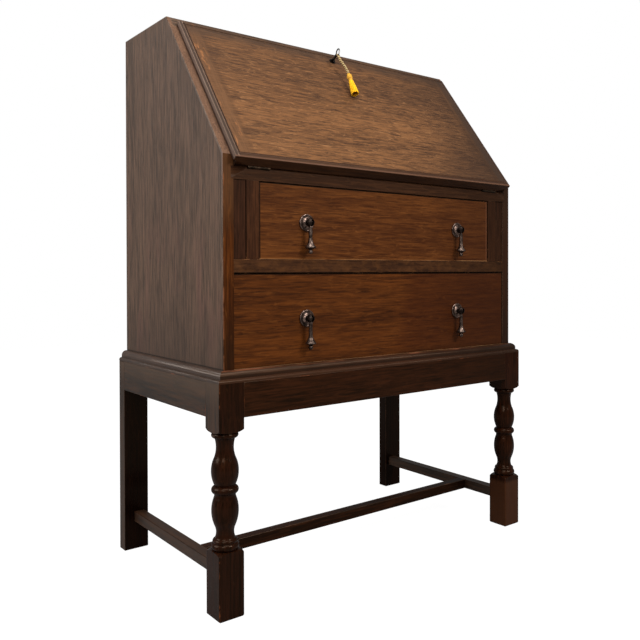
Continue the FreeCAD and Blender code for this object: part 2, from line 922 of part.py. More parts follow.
def make_tassel():
    """Head, bound waist and spreading skirt, turned about the line of the cord's last run."""
    start = vector(0, 0, 0)
    neck = vector(cord_radius, 0, 0)
    head_end = tassel_head_length / 2
    waist = vector(tassel_waist_radius, 0, -tassel_head_length)
    shoulder = vector(tassel_head_radius, 0, -head_end)
    skirt_top = vector(tassel_skirt_radius * skirt_share, 0, -tassel_length / 2)
    skirt_foot = vector(tassel_skirt_radius, 0, -tassel_length)
    middle = vector((tassel_waist_radius + skirt_top.x) / 2 + rest_gap, 0,
                    (waist.z + skirt_top.z) / 2)
    edges = [
        line(start, neck),
        arc(neck, shoulder, waist),
        arc(waist, middle, skirt_top),
        line(skirt_top, skirt_foot),
        line(skirt_foot, vector(0, 0, -tassel_length)),
        line(vector(0, 0, -tassel_length), start),
    ]
    body = turned(edges)
    points = cord_points()
    turn = FreeCAD.Rotation(-z_axis, points[-1] - points[-2])
    body.Placement = FreeCAD.Placement(points[-1], turn)
    return body


def drawer_box(half, low, high):
    """Front, sides, back and bottom of a drawer that is drawn closed."""
    start = drawer_recess
    lap_face = start + drawer_lap
    front_back = start + drawer_front_thick
    groove_low = low + drawer_groove_height
    groove_high = groove_low + drawer_bottom_thick
    side_top = high - drawer_side_drop
    reach = half - drawer_side_thick + drawer_groove_depth
    groove = box((-reach, front_back - drawer_groove_depth, groove_low),
                 (reach, drawer_length + overrun, groove_high))
    front = box((-half, start, low), (half, front_back, high)).cut(groove)
    ends = []
    for side in (-1, 1):
        outer = side * half
        inner = side * (half - drawer_side_thick)
        left = min(outer, inner)
        end = box((left, lap_face, low), (left + drawer_side_thick, drawer_length, side_top))
        rebate = box((left - overrun * (side < 0), lap_face, low - overrun),
                     (left + drawer_side_thick + overrun * (side > 0), front_back + overrun, side_top))
        front = front.cut(rebate)
        ends.append(end.cut(groove))
    inner_reach = half - drawer_side_thick
    back = box((-inner_reach, drawer_length - drawer_back_thick, groove_high),
               (inner_reach, drawer_length, side_top))
    bottom = box((-reach, front_back - drawer_groove_depth, groove_low),
                 (reach, drawer_length, groove_high))
    for side in (-1, 1):
        hole = cylinder(post_radius + pin_clearance, drawer_front_thick + 2 * overrun,
                        vector(side * handle_spread, start - overrun, (low + high) / 2), y_axis)
        front = front.cut(hole)
    return front, Part.makeCompound(ends), back, bottom


def facing_out(shape, centre):
    """Turns a handle piece that was drawn about z so that it faces the front."""
    placed = shape.copy()
    placed.rotate(vector(0, 0, 0), x_axis, 90)
    placed.translate(centre)
    return placed


def make_plate():
    """The round plate with raised rim, dish, neck and the ball that the drop hangs in."""
    rim_inner = plate_radius - rim_width
    rim_middle = plate_radius - rim_width / 2
    crest = plate_thick + rim_rise
    ball_foot = ball_reach - math.sqrt(ball_radius ** 2 - neck_radius ** 2)
    ball_side = vector(ball_radius, 0, ball_reach)
    edges = [
        line(vector(0, 0, 0), vector(plate_radius, 0, 0)),
        line(vector(plate_radius, 0, 0), vector(plate_radius, 0, plate_thick)),
        arc(vector(plate_radius, 0, plate_thick), vector(rim_middle, 0, crest),
            vector(rim_inner, 0, plate_thick)),
        line(vector(rim_inner, 0, plate_thick), vector(dish_ring_radius, 0, plate_thick)),
        line(vector(dish_ring_radius, 0, plate_thick), vector(neck_radius, 0, ball_foot)),
        arc(vector(neck_radius, 0, ball_foot), ball_side,
            vector(0, 0, ball_reach + ball_radius)),
        line(vector(0, 0, ball_reach + ball_radius), vector(0, 0, 0)),
    ]
    plate = turned(edges)
    post = cylinder(post_radius, drawer_front_thick + nut_thick, vector(0, 0, 0), -z_axis)
    plate = plate.fuse(post).removeSplitter()
    room = eye_radius + slide_gap
    slot = box((-cheek_slot / 2, -ball_radius - overrun, ball_reach - room),
               (cheek_slot / 2, room, ball_reach + ball_radius + overrun))
    bore = cylinder(handle_pin_radius + pin_clearance, 2 * ball_radius,
                    vector(-ball_radius, 0, ball_reach), x_axis)
    return plate.cut(slot).cut(bore)


def make_pendant(centre):
    """The drop: an eye on the pin, a stem that flares to a bell, and a knob below it."""
    cup_radius = knob_radius * knob_share
    flange_low = flange_top + flange_thick
    knob_middle = pendant_length - knob_radius
    flare = vector(stem_radius + (flange_radius - stem_radius) * bell_shares[0], 0,
                   -flare_top - (flange_top - flare_top) * bell_shares[1])
    knob_start = vector(cup_radius, 0, math.sqrt(knob_radius ** 2 - cup_radius ** 2) - knob_middle)
    edges = [
        line(vector(0, 0, -stem_top), vector(stem_radius, 0, -stem_top)),
        line(vector(stem_radius, 0, -stem_top), vector(stem_radius, 0, -flare_top)),
        arc(vector(stem_radius, 0, -flare_top), flare, vector(flange_radius, 0, -flange_top)),
        line(vector(flange_radius, 0, -flange_top), vector(flange_radius, 0, -flange_low)),
        line(vector(flange_radius, 0, -flange_low), knob_start),
        arc(knob_start, vector(knob_radius, 0, -knob_middle), vector(0, 0, -pendant_length)),
        line(vector(0, 0, -pendant_length), vector(0, 0, -stem_top)),
    ]
    drop = turned(edges)
    half = eye_thick / 2
    eye = cylinder(eye_radius, eye_thick, vector(-half, 0, 0), x_axis)
    strap = box((-half, -half, -stem_top - overrun), (half, half, 0))
    drop = drop.fuse(eye).fuse(strap).removeSplitter()
    bore = cylinder(handle_pin_radius + pin_clearance, eye_thick + 2 * overrun,
                    vector(-half - overrun, 0, 0), x_axis)
    drop = drop.cut(bore)
    drop.translate(centre + vector(0, -ball_reach, 0))
    return drop


def make_fixings(centres):
    """The pins that carry the drops, and the nuts behind the drawer front."""
    pieces = []
    pin_half = math.sqrt(ball_radius ** 2 - eye_radius ** 2)
    for centre in centres:
        start = centre + vector(-pin_half, -ball_reach, 0)
        pieces.append(cylinder(handle_pin_radius, 2 * pin_half, start, x_axis))
        behind = centre + vector(0, drawer_front_thick, 0)
        angles = [math.radians(60 * number) for number in range(6)]
        corners = [vector(nut_radius * math.cos(a), 0, nut_radius * math.sin(a)) for a in angles]
        nut = polygon(corners).extrude(vector(0, nut_thick, 0))
        nut = nut.cut(cylinder(post_radius + pin_clearance, nut_thick + 2 * overrun,
                               vector(0, -overrun, 0), y_axis))
        nut.translate(behind)
        pieces.append(nut)
    return Part.makeCompound(pieces)


def add_drawer(parts, name, half, low, high):
    front, ends, back, bottom = drawer_box(half, low, high)
    parts[name + "_drawer_front"] = front
    parts[name + "_drawer_sides"] = ends
    parts[name + "_drawer_back"] = back
    parts[name + "_drawer_bottom"] = bottom
    centres = [vector(side * handle_spread, drawer_recess, (low + high) / 2) for side in (-1, 1)]
    parts[name + "_handle_plates"] = Part.makeCompound([facing_out(make_plate(), c) for c in centres])
    parts[name + "_handle_fixings"] = make_fixings(centres)
    for side, centre in zip(("left", "right"), centres):
        parts[name + "_handle_drop_" + side] = make_pendant(centre)


def add_pair(parts, name, shape):
    parts[name + "_right"] = shape
    parts[name + "_left"] = mirrored(shape)


def both(shape):
    return Part.makeCompound([shape, mirrored(shape)])


def build():
    parts = {}
    add_pair(parts, "case_side", make_side())
    parts["case_top"] = make_top()
    parts["case_back"] = make_back()
    parts["case_bottom"] = make_bottom()
    parts["writing_board"] = make_writing_board()
    parts["front_rail"] = make_front_rail()
    parts["mid_rail"] = make_mid_rail()
    parts["drawer_runners"] = both(make_runner())
    parts["divider_stiles"] = both(make_stile())
    parts["loper_guides"] = both(make_guide())
    parts["pigeonhole_shelf"] = make_pigeon_shelf()
    parts["pigeonhole_uprights"] = make_uprights()
    parts["strike_plate"] = make_strike()
    parts["hinge_case_leaves"] = make_case_leaves()
    parts["hinge_pins"] = make_hinge_pins()
    add_pair(parts, "front_leg", make_front_leg())
    add_pair(parts, "rear_leg", make_rear_leg())
    parts["front_apron"] = make_front_apron()
    parts["rear_apron"] = make_rear_apron()
    add_pair(parts, "side_apron", make_side_apron())
    parts["front_moulding"] = make_front_moulding()
    add_pair(parts, "side_moulding", make_side_moulding())
    add_pair(parts, "side_stretcher", make_side_stretcher())
    parts["cross_stretcher"] = make_cross_stretcher()
    parts["case_fixing_blocks"] = make_fixing_blocks()
    parts["fall_panel"] = make_fall()
    parts["hinge_fall_leaves"] = make_fall_leaves()
    parts["lock_case"] = make_lock_case()
    parts["key_escutcheon"] = make_escutcheon()
    parts["lock_bolt"] = make_bolt()
    parts["key"] = make_key()
    parts["cord_loop"] = make_cord_loop()
    parts["key_cord"] = make_cord()
    parts["tassel"] = make_tassel()
    add_pair(parts, "loper", make_loper())
    add_pair(parts, "loper_stop", make_peg())
    add_drawer(parts, "upper", divider_inner - drawer_side_gap, mid_rail_top + rest_gap,
               rail_underside - drawer_top_gap)
    add_drawer(parts, "lower", inner_half - drawer_side_gap, floor_of_case + rest_gap,
               mid_rail_foot - drawer_top_gap)
    return parts


pieces = build()
for node, shape in pieces.items():
    shape.translate(origin_shift)
    shape.exportStep("parts/" + node + ".step")
print(len(pieces), "nodes")
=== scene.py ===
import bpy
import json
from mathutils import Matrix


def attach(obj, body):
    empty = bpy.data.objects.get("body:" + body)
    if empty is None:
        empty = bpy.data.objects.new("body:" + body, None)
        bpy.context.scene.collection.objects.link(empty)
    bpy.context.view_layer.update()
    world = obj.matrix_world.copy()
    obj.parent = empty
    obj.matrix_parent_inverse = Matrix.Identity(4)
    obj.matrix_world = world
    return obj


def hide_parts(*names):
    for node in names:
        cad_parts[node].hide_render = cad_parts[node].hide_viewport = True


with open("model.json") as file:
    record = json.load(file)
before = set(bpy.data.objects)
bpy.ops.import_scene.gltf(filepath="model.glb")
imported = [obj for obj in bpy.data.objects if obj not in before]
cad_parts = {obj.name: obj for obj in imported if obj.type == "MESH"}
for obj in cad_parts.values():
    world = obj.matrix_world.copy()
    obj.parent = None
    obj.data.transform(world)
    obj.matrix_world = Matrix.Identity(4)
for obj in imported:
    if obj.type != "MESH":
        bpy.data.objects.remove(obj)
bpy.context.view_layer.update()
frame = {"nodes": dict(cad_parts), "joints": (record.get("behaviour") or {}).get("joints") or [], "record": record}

import bpy
import json
import math
import random
from mathutils import Matrix, Vector

random.seed(11)
scene = bpy.context.scene
scene.view_settings.view_transform = "Standard"
cadNodes = frame["nodes"]
bodyOfNode = {node: body for body, members in frame["record"]["behaviour"]["bodies"].items() for node in members}
joints = {joint["name"]: joint for joint in frame["joints"]}
print("frame loaded:", len(cadNodes), "nodes")


# camera, floor and light

cameraView = {"place": (-0.9537, -1.28665, 0.5769), "pitch": 0.50, "yaw": 39.19, "roll": -0.095,
              "lens": 41.31, "shiftX": -0.0665, "shiftY": -0.0672, "sensor": 36, "clipStart": 0.01}
bpy.ops.object.camera_add(location=cameraView["place"],
                          rotation=(math.radians(90 - cameraView["pitch"]), 0, math.radians(-cameraView["yaw"])))
camera = bpy.context.object
camera.rotation_euler.rotate_axis("Z", math.radians(cameraView["roll"]))
camera.data.sensor_width = cameraView["sensor"]
camera.data.lens = cameraView["lens"]
camera.data.shift_x = cameraView["shiftX"]
camera.data.shift_y = cameraView["shiftY"]
camera.data.clip_start = cameraView["clipStart"]
scene.camera = camera


def addNode(tree, kind, **values):
    # a value is a setting of the node or, with underscores for spaces, one of its inputs
    node = tree.nodes.new(kind)
    for key, value in values.items():
        if hasattr(node, key):
            setattr(node, key, value)
        else:
            node.inputs[key.replace("_", " ")].default_value = value
    return node


def newMaterial(name):
    material = bpy.data.materials.new(name)
    material.use_nodes = True
    material.node_tree.nodes.clear()
    return material, material.node_tree


def combine(tree, operation, first, second):
    node = addNode(tree, "ShaderNodeMath", operation=operation)
    tree.links.new(first, node.inputs[0])
    tree.links.new(second, node.inputs[1])
    return node.outputs[0]


def mixShaders(tree, amount, first, second):
    mix = addNode(tree, "ShaderNodeMixShader")
    if isinstance(amount, float):
        mix.inputs[0].default_value = amount
    else:
        tree.links.new(amount, mix.inputs[0])
    tree.links.new(first.outputs[0], mix.inputs[1])
    tree.links.new(second.outputs[0], mix.inputs[2])
    return mix


studio = {"floorSize": 9.0, "floorColour": (0.86, 0.86, 0.86, 1), "bounceColour": (0.30, 0.30, 0.30, 1),
          "floorWhite": 0.86, "floorGlow": 1.12, "white": (1, 1, 1, 1), "worldFill": 0.24, "worldSeen": 1.0}


def makeFloorMaterial():
    # the camera sees a white floor with a soft shadow; the wood is lit by a dimmer one
    material, tree = newMaterial("paleFloor")
    matte = addNode(tree, "ShaderNodeBsdfDiffuse", Color=studio["floorColour"])
    bounce = addNode(tree, "ShaderNodeBsdfDiffuse", Color=studio["bounceColour"])
    glow = addNode(tree, "ShaderNodeEmission", Strength=studio["floorGlow"])
    rays = addNode(tree, "ShaderNodeLightPath")
    seen = mixShaders(tree, studio["floorWhite"], matte, glow)
    mix = mixShaders(tree, rays.outputs["Is Camera Ray"], bounce, seen)
    out = addNode(tree, "ShaderNodeOutputMaterial")
    tree.links.new(mix.outputs[0], out.inputs[0])
    return material


def makeWorld():
    # the camera sees white all round, and the object gets a dim fill from it
    world = bpy.data.worlds.new("paleStudio")
    world.use_nodes = True
    tree = world.node_tree
    tree.nodes.clear()
    rays = addNode(tree, "ShaderNodeLightPath")
    seen = combine(tree, "MAXIMUM", rays.outputs["Is Camera Ray"], rays.outputs["Is Transmission Ray"])
    fill = addNode(tree, "ShaderNodeBackground", Color=studio["white"], Strength=studio["worldFill"])
    white = addNode(tree, "ShaderNodeBackground", Color=studio["white"], Strength=studio["worldSeen"])
    out = addNode(tree, "ShaderNodeOutputWorld")
    tree.links.new(mixShaders(tree, seen, fill, white).outputs[0], out.inputs[0])
    return world


bpy.ops.mesh.primitive_plane_add(size=studio["floorSize"], location=(0, 0, 0))
floor = bpy.context.object
floor.name = "floor"
floor.data.materials.append(makeFloorMaterial())
scene.world = makeWorld()

lamps = [
    {"name": "keyLamp", "place": (0.9, -2.6, 2.5), "aim": (-0.1, 0, 0.7), "size": 1.1, "power": 70},
    {"name": "leftLamp", "place": (-2.9, 1.0, 2.0), "aim": (-0.3, 0, 0.7), "size": 2.0, "power": 80},
    {"name": "frontLeftLamp", "place": (-2.1, -1.9, 2.2), "aim": (-0.2, 0, 0.6), "size": 1.2, "power": 34},
    {"name": "topLamp", "place": (-0.5, -0.8, 3.2), "aim": (0, 0, 0.6), "size": 1.4, "power": 50},
]
for lamp in lamps:
    toward = Vector(lamp["aim"]) - Vector(lamp["place"])
    bpy.ops.object.light_add(type="AREA", location=lamp["place"],
                             rotation=toward.to_track_quat("-Z", "Y").to_euler())
    light = bpy.context.object
    light.name = lamp["name"]
    light.data.size = lamp["size"]
    light.data.energy = lamp["power"]
print("camera, floor and light ready")


# materials

def tint(red, green, blue):
    # a colour as it looks on a screen, 0 to 255
    def straight(level):
        level = level / 255
        return level / 12.92 if level < 0.04045 else ((level + 0.055) / 1.055) ** 2.4
    return (straight(red), straight(green), straight(blue), 1)


noiseRough = 0.6


def noiseAlong(tree, coordinate, stretch, place, scale, detail, distortion):
    mapping = addNode(tree, "ShaderNodeMapping", Location=place, Scale=stretch)
    noise = addNode(tree, "ShaderNodeTexNoise", Scale=scale, Detail=detail, Roughness=noiseRough,
                    Distortion=distortion)
    tree.links.new(coordinate, mapping.inputs["Vector"])
    tree.links.new(mapping.outputs[0], noise.inputs["Vector"])
    return noise.outputs[0]


def ramp(tree, source, low, high):
    # 0 at the low value and 1 at the high one
    node = addNode(tree, "ShaderNodeMapRange", From_Min=low, From_Max=high)
    tree.links.new(source, node.inputs["Value"])
    return node.outputs[0]


def spread(tree, source, low, high):
    # the low value at 0 and the high one at 1
    node = addNode(tree, "ShaderNodeMapRange", To_Min=low, To_Max=high)
    tree.links.new(source, node.inputs["Value"])
    return node.outputs[0]


def mixColour(tree, amount, first, second):
    # the node's inputs 6 and 7 are its two colours
    mix = addNode(tree, "ShaderNodeMix", data_type="RGBA")
    for socket, value in ((mix.inputs[0], amount), (mix.inputs[6], first), (mix.inputs[7], second)):
        if isinstance(value, (tuple, float, int)):
            socket.default_value = value
        else:
            tree.links.new(value, socket)
    return mix.outputs[2]


def scaled(tree, source, factor):
    node = addNode(tree, "ShaderNodeMath", operation="MULTIPLY")
    tree.links.new(source, node.inputs[0])
    node.inputs[1].default_value = factor
    return node.outputs[0]


def finishMaterial(tree, shader, colour, relief, strength, depth, rough=None):
    # the last steps of every wood, metal and yarn
    bump = addNode(tree, "ShaderNodeBump", Strength=strength, Distance=depth)
    out = addNode(tree, "ShaderNodeOutputMaterial")
    tree.links.new(relief, bump.inputs["Height"])
    tree.links.new(colour, shader.inputs["Base Color"])
    if rough:
        tree.links.new(rough, shader.inputs["Roughness"])
    tree.links.new(bump.outputs[0], shader.inputs["Normal"])
    tree.links.new(shader.outputs[0], out.inputs[0])


grainStretch = {"x": (0.05, 1, 1), "y": (1, 0.05, 1), "z": (1, 1, 0.05)}
fleckStretch = {"x": (0.20, 1, 1), "y": (1, 0.20, 1), "z": (1, 1, 0.20)}
warmSheen, paleSheen = (1, 0.72, 0.5, 1), (1, 0.87, 0.76, 1)
woodDefaults = {
    "broadScale": 18, "broadShare": 0.4, "fineScale": 260, "waves": 0.25, "poreScale": 620, "pores": 0.55,
    "fleckScale": 130, "fleck": 0.35, "grainRange": (0.40, 0.60), "fleckRange": (0.56, 0.70),
    "poreRange": (0.58, 0.70), "wearScale": 34, "rough": 0.45, "roughLess": 0.08, "roughMore": 0.12,
    "specular": 0.16, "sheen": warmSheen, "bump": 0.25, "bumpDepth": 0.0006, "bands": [], "wear": None,
}


def woodMaterial(name, look):
    material, tree = newMaterial(name)
    coordinate = addNode(tree, "ShaderNodeTexCoord").outputs["Object"]
    grain, seed = look["stretch"], look["seed"]
    broad = noiseAlong(tree, coordinate, grain, (seed, 0.3, 0.7), look["broadScale"], detail=3, distortion=0.6)
    fine = noiseAlong(tree, coordinate, grain, (0.2, seed, 0.1), look["fineScale"], detail=4,
                      distortion=look["waves"])
    pores = noiseAlong(tree, coordinate, grain, (0.5, 0.1, seed), look["poreScale"], detail=2, distortion=0.0)
    rays = noiseAlong(tree, coordinate, fleckStretch[look["grain"]], (seed, seed, 0.4), look["fleckScale"],
                      detail=3, distortion=1.2)
    blend = combine(tree, "ADD", scaled(tree, broad, look["broadShare"]),
                    scaled(tree, fine, 1 - look["broadShare"]))
    colour = mixColour(tree, ramp(tree, blend, *look["grainRange"]), look["dark"], look["light"])
    rayMask = scaled(tree, ramp(tree, rays, *look["fleckRange"]), look["fleck"])
    colour = mixColour(tree, rayMask, colour, look["pale"])
    poreMask = scaled(tree, ramp(tree, pores, *look["poreRange"]), look["pores"])
    colour = mixColour(tree, poreMask, colour, look["pore"])
    for stripe in look["bands"]:
        colour = addBand(tree, coordinate, colour, stripe)
    if look["wear"]:
        patches = noiseAlong(tree, coordinate, (1, 1, 1), (0, 0, seed), look["wearScale"], detail=4, distortion=0.5)
        colour = mixColour(tree, ramp(tree, patches, *look["wear"]["patches"]), colour, look["wear"]["colour"])
    shader = addNode(tree, "ShaderNodeBsdfPrincipled", Specular_IOR_Level=look["specular"],
                     Specular_Tint=look["sheen"])
    rough = spread(tree, fine, look["rough"] - look["roughLess"], look["rough"] + look["roughMore"])
    relief = combine(tree, "SUBTRACT", fine, poreMask)
    finishMaterial(tree, shader, colour, relief, look["bump"], look["bumpDepth"], rough)
    return material


def addBand(tree, coordinate, colour, stripe):
    along = addNode(tree, "ShaderNodeVectorMath", operation="DOT_PRODUCT")
    tree.links.new(coordinate, along.inputs[0])
    along.inputs[1].default_value = stripe["along"]
    source = along.outputs["Value"]
    if stripe.get("mirrored"):
        flat = addNode(tree, "ShaderNodeMath", operation="ABSOLUTE")
        tree.links.new(source, flat.inputs[0])
        source = flat.outputs[0]
    reach = addNode(tree, "ShaderNodeMapRange", interpolation_type="SMOOTHSTEP", From_Min=stripe["start"],
                    From_Max=stripe["end"])
    tree.links.new(source, reach.inputs["Value"])
    mask = scaled(tree, reach.outputs[0], stripe["amount"])
    if "patches" in stripe:
        patches = noiseAlong(tree, coordinate, stripe["stretch"], (0.3, 0.2, 0.1), stripe["patchScale"],
                             detail=3, distortion=0.4)
        mask = combine(tree, "MULTIPLY", mask, ramp(tree, patches, *stripe["patches"]))
    return mixColour(tree, mask, colour, stripe["colour"])


def tones(light, dark, pale, pore):
    return {"light": tint(*light), "dark": tint(*dark), "pale": tint(*pale), "pore": tint(*pore)}


oakTones = {
    "fall": tones((118, 78, 45), (60, 37, 21), (146, 102, 64), (40, 24, 15)),
    "side": tones((94, 71, 56), (51, 38, 29), (104, 74, 62), (32, 23, 17)),
    "slope": tones((118, 86, 64), (84, 58, 42), (136, 102, 82), (48, 31, 22)),
    "drawer": tones((101, 56, 22), (63, 30, 10), (120, 70, 31), (34, 14, 4)),
    "lower": tones((90, 46, 14), (50, 22, 6), (112, 63, 24), (28, 11, 3)),
    "rail": tones((68, 40, 22), (44, 24, 13), (84, 52, 30), (24, 12, 6)),
    "stand": tones((44, 21, 9), (20, 9, 3), (56, 29, 13), (9, 4, 2)),
    "inner": tones((172, 132, 88), (132, 94, 58), (184, 146, 102), (96, 66, 40)),
}


def wood(name, tone, grain, **more):
    return woodMaterial(name, {**woodDefaults, "stretch": grainStretch[grain], **oakTones[tone],
                               "grain": grain, **more})


def band(along, start, end, amount, colour, **more):
    # another tone that comes in between two places along a direction, and stays beyond the second
    return {"along": along, "start": start, "end": end, "amount": amount, "colour": tint(*colour), **more}


toRight, toLeft, toBack, toTop, toFloor = (1, 0, 0), (-1, 0, 0), (0, 1, 0), (0, 0, 1), (0, 0, -1)
upSlope = Vector(joints["lock_bolt_slide"]["axis"])
outward = Vector(joints["key_turn"]["axis"])
fallHalf = 0.349  # half the fall's width
lipFoot = Vector((0, -0.21496, 0.7665)).dot(upSlope)  # the fall's lower edge, up the slope
fallTop = Vector((0, -0.0005, 1.046)).dot(upSlope)  # its upper edge, up the slope
lipOut = Vector((0, -0.19735, 0.772)).dot(outward)  # about the plane of the case's slope, under the fall's lip

# the fall: banding and worn flecks, painted shade on the top and the right, then the painted shade and painted
# highlights of the moulded edge
fallGrainAndPaintedLight = [
    band(toRight, fallHalf - 0.046, fallHalf - 0.038, 0.5, (78, 50, 28), mirrored=True),
    band(toRight, fallHalf - 0.038, fallHalf - 0.032, 0.85, (104, 70, 43), mirrored=True,
         patches=(0.30, 0.62), patchScale=330, stretch=(1, 0.05, 0.05)),
    band(toLeft, fallHalf - 0.036, fallHalf - 0.026, 0.8, (168, 108, 62),
         patches=(0.56, 0.69), patchScale=90, stretch=(1, 0.32, 0.32)),
    # painted shade: darker to the top, to the right and to the lower right corner
    band(upSlope, fallTop - 0.045, fallTop - 0.01, 0.62, (58, 44, 34)),
    band(upSlope, fallTop - 0.24, fallTop - 0.03, 0.22, (52, 36, 26)),
    band(toRight, 0.10, 0.36, 0.50, (40, 24, 14)),
    band((0.6, -0.48, -0.64), -0.42, -0.24, 0.6, (36, 20, 11)),
    band(toRight, fallHalf - 0.034, fallHalf - 0.020, 0.55, (46, 34, 27)),
    # the moulded edge: painted shade in its quirks (the dark lines) and painted highlights on its arrises (the pale
    # lines)
    band(toRight, fallHalf - 0.0120, fallHalf - 0.0106, 0.92, (56, 38, 28), mirrored=True),
    band(upSlope, lipFoot + 0.0125, lipFoot + 0.0110, 0.85, (58, 36, 23)),
    band(toLeft, fallHalf - 0.0082, fallHalf - 0.0076, 0.9, (124, 100, 84)),
    band(toLeft, fallHalf - 0.0064, fallHalf - 0.0058, 0.9, (48, 34, 26)),
    band(toLeft, fallHalf - 0.0016, fallHalf - 0.0010, 0.8, (112, 90, 76)),
    band(upSlope, lipFoot + 0.0036, lipFoot + 0.0024, 0.75, (98, 66, 47)),
]
# the fall's side faces: a paler band further out, and painted shade at their foot against the case's slope
wallToneAndPaintedShade = [
    band(outward, lipOut + 0.0036, lipOut + 0.0046, 0.9, (88, 70, 60)),
    band(outward, lipOut + 0.0042, lipOut + 0.0030, 0.9, (40, 22, 14)),
]

# the case: rubbed patches and painted shade on the foot of the side, a painted shadow line where it meets the
# moulding, and its front edge
sideWearAndPaintedShade = [
    band(toFloor, -0.80, -0.50, 0.45, (104, 70, 60), patches=(0.50, 0.66), patchScale=16, stretch=(1, 1, 0.22)),
    band(toFloor, -0.56, -0.40, 0.42, (46, 33, 26)),
    band(toFloor, -0.4142, -0.4126, 0.8, (22, 15, 11)),
]
# the side's front edge: paler to the top, painted shade on its foot and on the right one, and a rubbed arris
frontEdgeWearAndPaintedShade = [
    band(toTop, 0.62, 0.72, 0.5, (88, 60, 38)),
    band(toFloor, -0.53, -0.42, 0.65, (28, 16, 8)),
    band(toRight, 0.30, 0.34, 0.80, (30, 20, 15)),
    band(toLeft, 0.3616, 0.3626, 0.75, (132, 78, 48), patches=(0.48, 0.62), patchScale=90, stretch=(1, 1, 0.4)),
]
# painted shade: darker towards the right, for the rails, stiles, lopers and moulding
shadeRight = band(toRight, 0.0, 0.38, 0.55, (20, 8, 2))
# the rails: rubbed patches, painted shade in the gap over the lower drawer, and painted shade to the right
railWearAndPaintedShade = [
    band(toFloor, -0.600, -0.598, 0.4, (98, 60, 30), patches=(0.40, 0.66), patchScale=110, stretch=(0.5, 1, 1)),
    band(toFloor, -0.5746, -0.5741, 0.95, (10, 3, 1)),
    shadeRight,
]
# the stiles and lopers: painted shade to the right, and painted shade in the dark lines of their gaps
stilePaintedShade = [shadeRight, band(toRight, 0.3185, 0.3189, 0.9, (16, 7, 4), mirrored=True)]
loperPaintedShade = [
    shadeRight,
    band(toRight, 0.3427, 0.3431, 0.9, (16, 7, 4), mirrored=True),
    band(toRight, 0.3207, 0.3203, 0.9, (16, 7, 4), mirrored=True),
]

# the drawers: painted shade to the right and at the foot, painted shade in the dark lines of their gaps, a painted
# highlight near the upper one's right end and rubbed patches along its foot
drawerPaintedShade = [
    band(toRight, 0.0, 0.33, 0.6, (46, 19, 6)),
    band(toTop, 0.425, 0.412, 0.35, (40, 18, 5)),
]
upperDrawerWearAndPaintedLight = [
    *drawerPaintedShade,
    band(toRight, 0.2880, 0.2886, 0.5, (112, 70, 48)),
    band(toRight, 0.2908, 0.2914, 0.9, (14, 4, 1), mirrored=True),
    band(toTop, 0.7280, 0.7285, 0.95, (12, 3, 1)),
    band(toFloor, -0.5990, -0.5983, 0.7, (150, 106, 66), patches=(0.40, 0.62), patchScale=50, stretch=(0.2, 1, 1)),
]
lowerDrawerPaintedShade = [
    band((0.97, 0, -0.24), -0.105, -0.055, 0.35, (48, 14, 4)),
    *drawerPaintedShade,
    band(toRight, 0.3402, 0.3412, 0.85, (14, 5, 2)),
    band(toTop, 0.5697, 0.5702, 0.96, (10, 3, 1)),
]

# the stand: rubbed arrises, painted shade on the back, the paler foot on the right, painted light on the top of the
# side, and the moulding's rubbed patches, painted highlights and painted shade lines
legBands = [
    band((side * 0.7071, -0.7071, 0), 0.4187, 0.4197, 0.7, (150, 82, 46),
         patches=(0.54, 0.66), patchScale=220, stretch=(1, 1, 0.30))
    for side in (-1, 1)
]
# painted shade on the back legs
rearShade = band(toBack, 0.13, 0.20, 0.6, (6, 2, 1))
rightFoot = band(toFloor, -0.105, -0.095, 0.6, (70, 40, 23))
# painted light on the top of the side aprons
apronLight = band(toTop, 0.34, 0.393, 0.5, (78, 60, 46))
# the moulding: rubbed patches with a painted highlight along its top edge, a painted shade line and a painted
# highlight line in its profile, and painted shade to the right
mouldingWearAndPaintedLight = [
    band(toTop, 0.4086, 0.4098, 0.8, (128, 76, 52), patches=(0.47, 0.66), patchScale=110, stretch=(0.12, 1, 1)),
    band(toFloor, -0.4032, -0.4016, 0.5, (20, 10, 5)),
    band(toFloor, -0.3990, -0.3976, 0.6, (60, 34, 20)),
    shadeRight,
]

